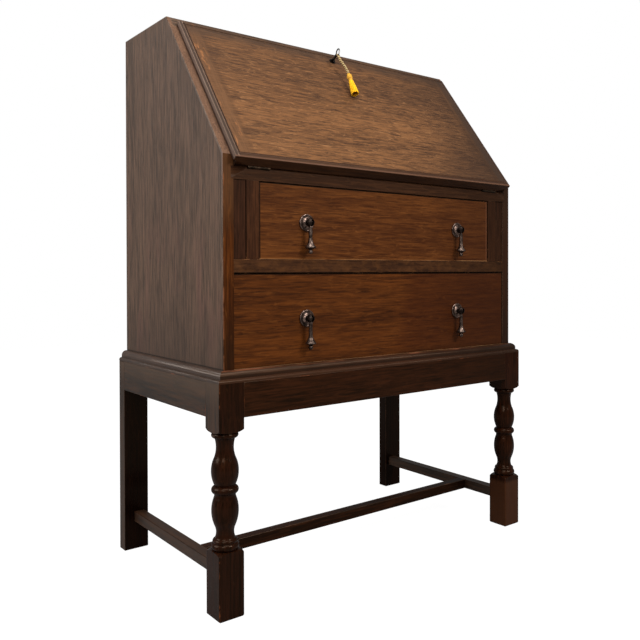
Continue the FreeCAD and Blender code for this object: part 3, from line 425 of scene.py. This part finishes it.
drawerGrain = {"fleck": 0.4, "fineScale": 350, "waves": 0.35, "stretch": (0.06, 1, 1), "poreScale": 430,
               "specular": 0.12}
# painted light: a paler, lit copy of the stand wood, with the painted light on the apron's top, for the side aprons
# and stretchers and the legs' left faces
litStand = {"light": tint(56, 34, 19), "dark": tint(16, 8, 4), "fineScale": 200, "rough": 0.46, "specular": 0.46,
            "bands": [apronLight], "sheen": paleSheen}
woods = {
    "fall": wood("figuredOakFall", "fall", "x", seed=1.3, fleck=0.65, fleckScale=230, rough=0.46, specular=0.2,
                 fineScale=330, waves=0.8, stretch=(0.075, 1, 1), broadShare=0.25, poreScale=760,
                 bands=fallGrainAndPaintedLight, sheen=paleSheen),
    # the fall's lower edge, which faces down: a darker wood as painted shade
    "lip": wood("oakLipShade", "rail", "x", seed=1.8, fleck=0.3, specular=0.12),
    "wall": wood("oakWall", "side", "z", seed=1.6, fleck=0.3, specular=0.3, bands=wallToneAndPaintedShade, sheen=paleSheen),
    "side": wood("oakSide", "side", "z", seed=2.1, fleck=0.3, rough=0.42, specular=0.34, fineScale=380,
                 stretch=(1, 1, 0.045), broadShare=0.2, pores=0.8, bands=sideWearAndPaintedShade, sheen=paleSheen),
    "sideSlope": wood("oakSlopeEdge", "slope", "z", seed=2.4, fleck=0.4, specular=0.2, fineScale=500,
                      sheen=paleSheen),
    "sideFront": wood("oakFrontEdge", "lower", "z", seed=2.7, fleck=0.4, specular=0.08, bands=frontEdgeWearAndPaintedShade),
    "top": wood("oakTop", "side", "x", seed=2.9, fleck=0.2, rough=0.44, specular=0.3),
    "drawerUpper": wood("oakUpperDrawer", "drawer", "x", seed=3.7, bands=upperDrawerWearAndPaintedLight, **drawerGrain),
    "drawerLower": wood("oakLowerDrawer", "lower", "x", seed=4.4, bands=lowerDrawerPaintedShade, **drawerGrain),
    "drawerEdge": wood("oakDrawerEdge", "rail", "x", seed=3.9, fleck=0.2, specular=0.12),
    "rail": wood("oakRail", "rail", "x", seed=5.2, specular=0.12, bands=railWearAndPaintedShade),
    "stile": wood("oakStile", "rail", "z", seed=6.1, light=tint(74, 42, 23), dark=tint(46, 24, 13), fleck=0.3,
                  specular=0.10, bands=stilePaintedShade),
    "loper": wood("oakLoper", "rail", "z", seed=6.8, light=tint(62, 34, 20), dark=tint(34, 17, 9), fleck=0.4,
                  specular=0.10, bands=loperPaintedShade),
    "standX": wood("darkOakAcross", "stand", "x", seed=7.3, light=tint(52, 25, 10), dark=tint(22, 9, 3),
                   fleck=0.4, fineScale=300, rough=0.42, specular=0.09, bands=[shadeRight]),
    "standY": wood("darkOakDeep", "stand", "y", seed=8.2, fleck=0.6, **litStand),
    "blockSide": wood("darkOakBlockSide", "stand", "z", seed=8.8, fleck=0.5, **litStand),
    "standZ": wood("darkOakUpright", "stand", "z", seed=9.1, light=tint(37, 16, 7), dark=tint(15, 6, 2),
                   rough=0.16, specular=0.11, bands=[rearShade] + legBands),
    "standRight": wood("darkOakRightLeg", "stand", "z", seed=9.6, light=tint(40, 17, 7), dark=tint(17, 6, 2),
                       fleck=0.4, rough=0.16, specular=0.10, bands=[rightFoot] + legBands),
    "mouldX": wood("darkOakMouldingFront", "rail", "x", seed=7.7, light=tint(56, 31, 17), dark=tint(30, 16, 9),
                   fleck=0.2, rough=0.34, specular=0.24, bands=mouldingWearAndPaintedLight),
    "mouldY": wood("darkOakMouldingSide", "rail", "y", seed=8.6, light=tint(56, 38, 28), dark=tint(30, 19, 13),
                   fleck=0.3, rough=0.36, specular=0.75, sheen=paleSheen),
    "innerX": wood("plainWoodAcross", "inner", "x", seed=1.9, fleck=0.1, rough=0.6),
    "innerY": wood("plainWoodDeep", "inner", "y", seed=2.6, fleck=0.1, rough=0.6),
    "innerZ": wood("plainWoodUpright", "inner", "z", seed=3.3, fleck=0.1, rough=0.6),
}

# the woods of the eased arrises, rubbed in patches except inside
wornEdge = {"patches": (0.58, 0.70), "colour": tint(150, 98, 58)}
wornStand = {"patches": (0.54, 0.68), "colour": tint(128, 66, 34)}
wornBar = {"patches": (0.56, 0.76), "colour": tint(84, 50, 32)}
wornWoods = {
    "fall": wood("wornFallEdge", "fall", "x", seed=1.3, rough=0.34, specular=0.5, wear=wornEdge),
    "side": wood("wornSideEdge", "side", "z", seed=2.1, rough=0.36, specular=0.45, wear=wornEdge),
    "drawer": wood("wornDrawerEdge", "stand", "x", seed=3.7, wear=wornEdge),
    "rail": wood("wornRailEdge", "stand", "x", seed=5.2, wear=wornEdge),
    "stand": wood("wornStandEdge", "stand", "x", seed=7.3, rough=0.36, specular=0.3, wear=wornStand),
    "bar": wood("wornBarEdge", "stand", "x", seed=7.9, rough=0.40, specular=0.3, wear=wornBar),
    "inner": wood("wornInnerEdge", "inner", "x", seed=1.9, rough=0.6),
}

metalDefaults = {"stainRange": (0.40, 0.66), "scratchScale": 6, "roughLess": 0.08, "roughMore": 0.16,
                 "bump": 0.12, "bumpDepth": 0.0002}


def metalMaterial(name, light, dark, rough, grain):
    look = metalDefaults
    material, tree = newMaterial(name)
    coordinate = addNode(tree, "ShaderNodeTexCoord").outputs["Object"]
    stains = noiseAlong(tree, coordinate, (1, 1, 1), (0, 0, 0), grain, detail=5, distortion=0.4)
    scratches = noiseAlong(tree, coordinate, (1, 1, 0.2), (0.3, 0, 0), grain * look["scratchScale"],
                           detail=3, distortion=0.0)
    colour = mixColour(tree, ramp(tree, stains, *look["stainRange"]), tint(*dark), tint(*light))
    shader = addNode(tree, "ShaderNodeBsdfPrincipled", Metallic=1.0)
    roughness = spread(tree, stains, rough - look["roughLess"], rough + look["roughMore"])
    finishMaterial(tree, shader, colour, scratches, look["bump"], look["bumpDepth"], roughness)
    return material


yarnDefaults = {"fibreScale": 900, "fibreRange": (0.35, 0.65), "rough": 0.6, "specular": 0.15, "fuzz": 0.06,
                "fuzzRough": 0.4, "bump": 0.3, "bumpDepth": 0.0003}


def yarnMaterial(name, light, dark):
    look = yarnDefaults
    material, tree = newMaterial(name)
    coordinate = addNode(tree, "ShaderNodeTexCoord").outputs["Object"]
    fibres = noiseAlong(tree, coordinate, (1, 1, 0.25), (0, 0, 0), look["fibreScale"], detail=3, distortion=0.2)
    colour = mixColour(tree, ramp(tree, fibres, *look["fibreRange"]), tint(*dark), tint(*light))
    shader = addNode(tree, "ShaderNodeBsdfPrincipled", Roughness=look["rough"], Specular_IOR_Level=look["specular"],
                     Sheen_Weight=look["fuzz"], Sheen_Roughness=look["fuzzRough"])
    finishMaterial(tree, shader, colour, fibres, look["bump"], look["bumpDepth"])
    return material


metals = {
    "handles": metalMaterial("agedBronze", (150, 126, 114), (84, 68, 60), rough=0.28, grain=160),
    "drops": metalMaterial("wornBronze", (122, 104, 94), (60, 49, 43), rough=0.32, grain=160),
    "pivots": metalMaterial("darkBronze", (64, 54, 48), (30, 24, 22), rough=0.40, grain=160),
    "hinges": metalMaterial("dullBrass", (72, 56, 43), (36, 28, 21), rough=0.46, grain=90),
    "key": metalMaterial("darkSteel", (56, 50, 46), (24, 20, 18), rough=0.36, grain=140),
    "bow": metalMaterial("paleSteel", (176, 170, 164), (104, 98, 94), rough=0.30, grain=140),
}
yarns = {
    "gold": yarnMaterial("goldYarn", (252, 204, 16), (222, 154, 2)),
    # painted shade between the threads of the skirt
    "shadeAmber": yarnMaterial("shadeAmberYarn", (236, 160, 6), (190, 108, 0)),
    "head": yarnMaterial("paleGoldYarn", (226, 172, 60), (174, 118, 30)),
    "cream": yarnMaterial("creamYarn", (216, 196, 148), (176, 148, 96)),
    "brown": yarnMaterial("brownYarn", (122, 92, 52), (84, 58, 30)),
    # painted shade for the hollow under the tassel's skirt
    "foot": yarnMaterial("shadedYarn", (92, 40, 6), (48, 16, 2)),
}
print("materials ready")


# shared steps

meshPlan = {"mergeWithin": 0.000005, "flatWithin": 0.5, "bevelSegments": 2, "bevelAngle": 40, "wornIndex": 1,
            "smoothAngle": 35, "roundAngle": 60, "broadArea": 0.0005, "squareOn": 0.9995, "normalWeight": 100,
            "facing": 0.95, "everyHeight": -1.0}


def deselectAll():
    bpy.ops.object.select_all(action="DESELECT")


def activate(piece):
    deselectAll()
    piece.select_set(True)
    bpy.context.view_layer.objects.active = piece


def copyOfNode(node, name):
    piece = bpy.data.objects.new(name, cadNodes[node].data.copy())
    scene.collection.objects.link(piece)
    piece.data.materials.clear()
    activate(piece)
    bpy.ops.object.mode_set(mode="EDIT")
    bpy.ops.mesh.select_all(action="SELECT")
    bpy.ops.mesh.remove_doubles(threshold=meshPlan["mergeWithin"])
    bpy.ops.mesh.dissolve_limited(angle_limit=math.radians(meshPlan["flatWithin"]))
    bpy.ops.object.mode_set(mode="OBJECT")
    return piece


def easeEdges(piece, width):
    activate(piece)
    bevel = piece.modifiers.new("easedArris", "BEVEL")
    bevel.width = width
    bevel.segments = meshPlan["bevelSegments"]
    bevel.limit_method = "ANGLE"
    bevel.angle_limit = math.radians(meshPlan["bevelAngle"])
    bevel.material = meshPlan["wornIndex"]
    bpy.ops.object.modifier_apply(modifier=bevel.name)


def smooth(piece, angle=meshPlan["smoothAngle"]):
    activate(piece)
    bpy.ops.object.shade_smooth_by_angle(angle=math.radians(angle))
    # a broad flat face stays flat up to the curve that it meets
    broad = set()
    beside = {}
    for face in piece.data.polygons:
        if face.area > meshPlan["broadArea"] and max(abs(part) for part in face.normal) > meshPlan["squareOn"]:
            broad.add(face.index)
        for key in face.edge_keys:
            beside.setdefault(key, []).append(face.index)
    for edge in piece.data.edges:
        if len(broad.intersection(beside.get(edge.key, []))) == 1:
            edge.use_edge_sharp = True
    weighted = piece.modifiers.new("flatFaces", "WEIGHTED_NORMAL")
    weighted.keep_sharp = True
    weighted.weight = meshPlan["normalWeight"]
    bpy.ops.object.modifier_apply(modifier=weighted.name)


def addMaterials(piece, *materials):
    for material in materials:
        piece.data.materials.append(material)


def finish(piece, body, nodes=()):
    if nodes:
        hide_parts(*nodes)
    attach(piece, body)


def dressWood(node, main, worn, ease):
    piece = copyOfNode(node, node + "_wood")
    addMaterials(piece, main, worn)
    if ease:
        easeEdges(piece, ease)
    smooth(piece)
    finish(piece, bodyOfNode[node], [node])
    return piece


def dressMetal(node, main):
    piece = copyOfNode(node, node + "_metal")
    addMaterials(piece, main)
    smooth(piece)
    finish(piece, bodyOfNode[node], [node])
    return piece


def retone(piece, direction, material, above=meshPlan["everyHeight"]):
    # every face that looks in one direction, and lies above a height, takes a wood of its own
    addMaterials(piece, material)
    for face in piece.data.polygons:
        if face.normal.dot(Vector(direction)) > meshPlan["facing"] and face.center.z > above:
            face.material_index = len(piece.data.materials) - 1


# boards of the case, the stand, the fall, the drawers and the lopers

# node: wood, wood of its arrises, and how far they are eased
woodPlan = {
    "case_side_left": ("side", "side", 0.0), "case_side_right": ("side", "side", 0.0),
    "case_top": ("top", "side", 0.0008), "case_back": ("innerZ", "inner", 0.0003),
    "case_bottom": ("innerX", "inner", 0.0003), "writing_board": ("drawerUpper", "drawer", 0.0003),
    "front_rail": ("rail", "rail", 0.0), "mid_rail": ("rail", "rail", 0.0004),
    "drawer_runners": ("innerY", "inner", 0.0004), "divider_stiles": ("stile", "rail", 0.0004),
    "loper_guides": ("innerY", "inner", 0.0003), "pigeonhole_shelf": ("rail", "rail", 0.0008),
    "pigeonhole_uprights": ("stile", "rail", 0.0008),
    "front_leg_left": ("standZ", "stand", 0.0), "front_leg_right": ("standRight", "stand", 0.0),
    "rear_leg_left": ("standZ", "bar", 0.0012), "rear_leg_right": ("standZ", "bar", 0.0012),
    "front_apron": ("standX", "stand", 0.0006), "rear_apron": ("standX", "stand", 0.0008),
    "side_apron_left": ("standY", "stand", 0.0006), "side_apron_right": ("standY", "stand", 0.0006),
    "front_moulding": ("mouldX", "stand", 0.0), "side_moulding_left": ("mouldY", "stand", 0.0),
    "side_moulding_right": ("mouldY", "stand", 0.0),
    "side_stretcher_left": ("standY", "bar", 0.0012), "side_stretcher_right": ("standY", "bar", 0.0012),
    "cross_stretcher": ("standX", "bar", 0.0012), "case_fixing_blocks": ("innerX", "inner", 0.0008),
    "fall_panel": ("fall", "fall", 0.0),
    "upper_drawer_front": ("drawerUpper", "drawer", 0.0007), "upper_drawer_sides": ("innerY", "inner", 0.0005),
    "upper_drawer_back": ("innerX", "inner", 0.0005), "upper_drawer_bottom": ("innerX", "inner", 0.0003),
    "lower_drawer_front": ("drawerLower", "drawer", 0.0007), "lower_drawer_sides": ("innerY", "inner", 0.0005),
    "lower_drawer_back": ("innerX", "inner", 0.0005), "lower_drawer_bottom": ("innerX", "inner", 0.0003),
    "loper_left": ("loper", "rail", 0.0005), "loper_right": ("loper", "rail", 0.0005),
    "loper_stop_left": ("innerX", "inner", 0.0003), "loper_stop_right": ("innerX", "inner", 0.0003),
}
dressed = {}
for node, (main, worn, ease) in woodPlan.items():
    dressed[node] = dressWood(node, woods[main], wornWoods[worn], ease)
blockFoot = 0.3  # the front leg's upper block is above this height
for node in ("case_side_left", "case_side_right"):
    retone(dressed[node], (0, -1, 0), woods["sideFront"])
    retone(dressed[node], outward, woods["sideSlope"])
# the fall's lower edge takes the darker wood of painted shade
retone(dressed["fall_panel"], -upSlope, woods["lip"])
for direction in (toLeft, toRight):
    retone(dressed["fall_panel"], direction, woods["wall"])
# the left faces of the left legs take the lit copy of the stand wood, as painted light
retone(dressed["front_leg_left"], toLeft, woods["blockSide"], blockFoot)
retone(dressed["rear_leg_left"], toLeft, woods["blockSide"])
for name in ("upper", "lower"):
    for direction in (toTop, toFloor, toRight, toLeft):
        retone(dressed[name + "_drawer_front"], direction, woods["drawerEdge"])
print("boards dressed:", len(woodPlan))

metalPlan = {
    "hinge_case_leaves": "hinges", "hinge_fall_leaves": "hinges", "hinge_pins": "hinges",
    "strike_plate": "hinges", "lock_case": "hinges", "lock_bolt": "key", "key_escutcheon": "key", "key": "key",
}
for name in ("upper", "lower"):
    metalPlan[name + "_handle_plates"] = "handles"
    metalPlan[name + "_handle_fixings"] = "pivots"
    metalPlan[name + "_handle_drop_left"] = "drops"
    metalPlan[name + "_handle_drop_right"] = "drops"
for node, metal in metalPlan.items():
    dressed[node] = dressMetal(node, metals[metal])

# the neck and ball in the middle of each handle's plate are darker than the plate
rimReach = 0.0045  # out of the drawer's face, past the rim of the plate
for name in ("upper", "lower"):
    front = min(vertex.co.y for vertex in cadNodes[name + "_drawer_front"].data.vertices)
    plates = dressed[name + "_handle_plates"]
    addMaterials(plates, metals["pivots"])
    for face in plates.data.polygons:
        if face.center.y < front - rimReach:
            face.material_index = 1

# the key's bow is a paler steel in front of the loop of cord
pastLoop = 0.0015
bowStart = Vector(joints["cord_loop_turn"]["pos_m"]).dot(outward) + pastLoop
addMaterials(dressed["key"], metals["bow"])
for face in dressed["key"].data.polygons:
    if face.center.dot(outward) > bowStart:
        face.material_index = 1
print("metalwork dressed:", len(metalPlan))


# key cord: a twisted pair from the loop on the key down to the tassel

# the line runs through its shares of the span: across, up the slope and out of it
cordPlan = {
    "radius": 0.0030, "span": 0.0394, "strands": 2, "turns": 10, "strandShare": 0.52, "steps": 96, "roundness": 3,
    "routeSteps": 24, "shares": [(0, 0, 0), (0.11, -0.32, -0.066), (0.30, -0.75, -0.13), (0.28, -1.09, -0.18)],
}
across = Vector((1, 0, 0))
cordTop = Vector(joints["tassel_swing"]["pos_m"])


def onSlope(share, span):
    return cordTop + (across * share[0] + upSlope * share[1] + outward * share[2]) * span


def addLine(curve, points):
    # a soft line that starts and ends at its outer points
    spline = curve.splines.new("NURBS")
    spline.points.add(len(points) - 1)
    for knot, point in zip(spline.points, points):
        knot.co = (*point, 1)
    spline.order_u = 3
    spline.use_endpoint_u = True


def makeRoute(name, points):
    curve = bpy.data.curves.new(name, "CURVE")
    curve.dimensions = "3D"
    curve.resolution_u = cordPlan["routeSteps"]
    addLine(curve, points)
    route = bpy.data.objects.new(name, curve)
    scene.collection.objects.link(route)
    return route


def readRoute(route):
    bpy.context.view_layer.update()
    mesh = bpy.data.meshes.new_from_object(route.evaluated_get(bpy.context.evaluated_depsgraph_get()))
    points = [vertex.co.copy() for vertex in mesh.vertices]
    bpy.data.meshes.remove(mesh)
    return points


def makeTube(name, curve):
    tube = bpy.data.objects.new(name, curve)
    scene.collection.objects.link(tube)
    activate(tube)
    bpy.ops.object.convert(target="MESH")
    return bpy.context.object


def twistedStrands(name, path, plan):
    # strands wound round the line of the path, each a round tube, the first cream and the second brown
    radius, steps, strands, share = plan["radius"], plan["steps"], plan["strands"], plan["strandShare"]
    reach = [0.0]
    for first, second in zip(path, path[1:]):
        reach.append(reach[-1] + (second - first).length)
    total = reach[-1]
    curve = bpy.data.curves.new(name, "CURVE")
    curve.dimensions = "3D"
    curve.bevel_depth = radius * share
    curve.bevel_resolution = plan["roundness"]
    curve.use_fill_caps = True
    for strand in range(strands):
        spline = curve.splines.new("POLY")
        spline.points.add(steps)
        spot = 0
        for step in range(steps + 1):
            distance = total * step / steps
            while spot < len(reach) - 2 and reach[spot + 1] < distance:
                spot += 1
            along = (path[spot + 1] - path[spot]).normalized()
            centre = path[spot] + along * (distance - reach[spot])
            sideways = along.cross(outward).normalized()
            over = sideways.cross(along)
            angle = 2 * math.pi * (plan["turns"] * step / steps + strand / strands)
            offset = (sideways * math.cos(angle) + over * math.sin(angle)) * radius * (1 - share)
            spline.points[step].co = (*(centre + offset), 1)
    twist = makeTube(name, curve)
    addMaterials(twist, yarns["cream"], yarns["brown"])
    half = len(twist.data.polygons) // 2
    for face in twist.data.polygons:
        face.material_index = 1 if face.index >= half else 0
    smooth(twist, meshPlan["roundAngle"])
    return twist


cordPoints = [onSlope(share, cordPlan["span"]) for share in cordPlan["shares"]]
cordRoute = makeRoute("key_cord_route", cordPoints)
cordPath = readRoute(cordRoute)
bpy.data.objects.remove(cordRoute)
keyCord = twistedStrands("key_cord_twist", cordPath, cordPlan)
finish(keyCord, "cord_tassel", ["key_cord"])


# tassel: a moulded head, a bound waist and a skirt of threads

# radius and height, from the top of the head down to the shaded hollow of the skirt
tasselCore = [
    (0.0004, 0.0), (0.0027, -0.0003), (0.0044, -0.0022), (0.0055, -0.0052), (0.0058, -0.0080),
    (0.0056, -0.0110), (0.0048, -0.0138), (0.0040, -0.0150), (0.0043, -0.0156), (0.0045, -0.0163),
    (0.0043, -0.0170), (0.0045, -0.0177), (0.0043, -0.0184), (0.0045, -0.0191), (0.0042, -0.0198),
    (0.0046, -0.0240), (0.0053, -0.0330), (0.0060, -0.0420), (0.0063, -0.0490), (0.0020, -0.0485),
]
tasselPlan = {
    "sides": 40, "headEnd": -0.0205, "hollowStart": -0.0475, "threads": 46, "threadRadius": 0.00062,
    "roundness": 1, "threadSteps": 3,
    "threadLine": [(0.0043, -0.0196), (0.0049, -0.0250), (0.0061, -0.0380), (0.0073, -0.0550)],
    "unevenTurn": 0.25, "unevenReach": (-0.0004, 0.0005), "unevenEnd": 0.0012, "shadedThreadEvery": 4,
}
tasselTop = cordPath[-1]
tasselDown = (cordPoints[-1] - cordPoints[-2]).normalized()


def latheUp(name, rings, sides):
    # a round piece drawn out ring by ring along z
    deselectAll()
    bpy.ops.mesh.primitive_circle_add(vertices=sides, radius=rings[0][0], fill_type="NGON",
                                      location=(0, 0, rings[0][1]))
    piece = bpy.context.object
    piece.name = name
    bpy.ops.object.transform_apply(location=True, rotation=True, scale=True)
    bpy.ops.object.mode_set(mode="EDIT")
    bpy.ops.mesh.select_all(action="SELECT")
    for (radius, height), (nextRadius, nextHeight) in zip(rings, rings[1:]):
        bpy.ops.mesh.extrude_region_move(TRANSFORM_OT_translate={"value": (0, 0, nextHeight - height)})
        share = nextRadius / radius
        bpy.ops.transform.resize(value=(share, share, 1), center_override=(0, 0, nextHeight))
    bpy.ops.mesh.select_all(action="SELECT")
    bpy.ops.mesh.normals_make_consistent(inside=False)
    bpy.ops.object.mode_set(mode="OBJECT")
    return piece


def placeAlong(piece, start, direction):
    # turns a piece that was drawn along minus z to its direction, and moves it to its start
    turn = Vector((0, 0, -1)).rotation_difference(direction).to_matrix().to_4x4()
    piece.data.transform(Matrix.Translation(start) @ turn)


def makeThread(number):
    plan = tasselPlan
    turn = random.uniform(-plan["unevenTurn"], plan["unevenTurn"])
    angle = 2 * math.pi * (number + turn) / plan["threads"]
    extra = random.uniform(*plan["unevenReach"])
    shorter = random.uniform(0, plan["unevenEnd"])
    waist, belly, hip, end = plan["threadLine"]
    line = [waist, belly, (hip[0] + extra, hip[1]), (end[0] + extra, end[1] + shorter)]
    curve = bpy.data.curves.new("thread", "CURVE")
    curve.dimensions = "3D"
    curve.bevel_depth = plan["threadRadius"]
    curve.bevel_resolution = plan["roundness"]
    curve.resolution_u = plan["threadSteps"]
    curve.use_fill_caps = True
    addLine(curve, [(radius * math.cos(angle), radius * math.sin(angle), height) for radius, height in line])
    thread = makeTube("thread", curve)
    thread.data.materials.clear()
    # every fourth thread is the darker amber, as painted shade between the threads
    addMaterials(thread, yarns["shadeAmber" if number % plan["shadedThreadEvery"] == 1 else "gold"])
    return thread


def makeTassel():
    core = latheUp("tassel_core", tasselCore, tasselPlan["sides"])
    addMaterials(core, yarns["gold"], yarns["foot"], yarns["head"])
    # the hollow under the skirt takes the yarn of painted shade, and the head a paler gold
    for face in core.data.polygons:
        if face.center.z < tasselPlan["hollowStart"]:
            face.material_index = 1
        elif face.center.z > tasselPlan["headEnd"]:
            face.material_index = 2
    threads = [makeThread(number) for number in range(tasselPlan["threads"])]
    deselectAll()
    for thread in threads:
        thread.select_set(True)
    core.select_set(True)
    bpy.context.view_layer.objects.active = core
    bpy.ops.object.join()
    core.name = "tassel_silk"
    smooth(core, meshPlan["roundAngle"])
    placeAlong(core, tasselTop, tasselDown)
    return core


tassel = makeTassel()
finish(tassel, "cord_tassel", ["tassel"])


# loop of the same cord round the foot of the key's bow

loopPlan = {"ring": 0.0031, "ringSteps": 48, "radius": 0.0012, "strands": 2, "turns": 6, "strandShare": 0.52,
            "steps": 96, "roundness": 3}
loopCentre = Vector(joints["cord_loop_turn"]["pos_m"])
loopPath = []
for step in range(loopPlan["ringSteps"] + 1):
    angle = 2 * math.pi * step / loopPlan["ringSteps"]
    loopPath.append(loopCentre + (across * math.cos(angle) + upSlope * math.sin(angle)) * loopPlan["ring"])
cordLoop = twistedStrands("cord_loop_twist", loopPath, loopPlan)
finish(cordLoop, "cord_loop", ["cord_loop"])
print("cord and tassel ready")
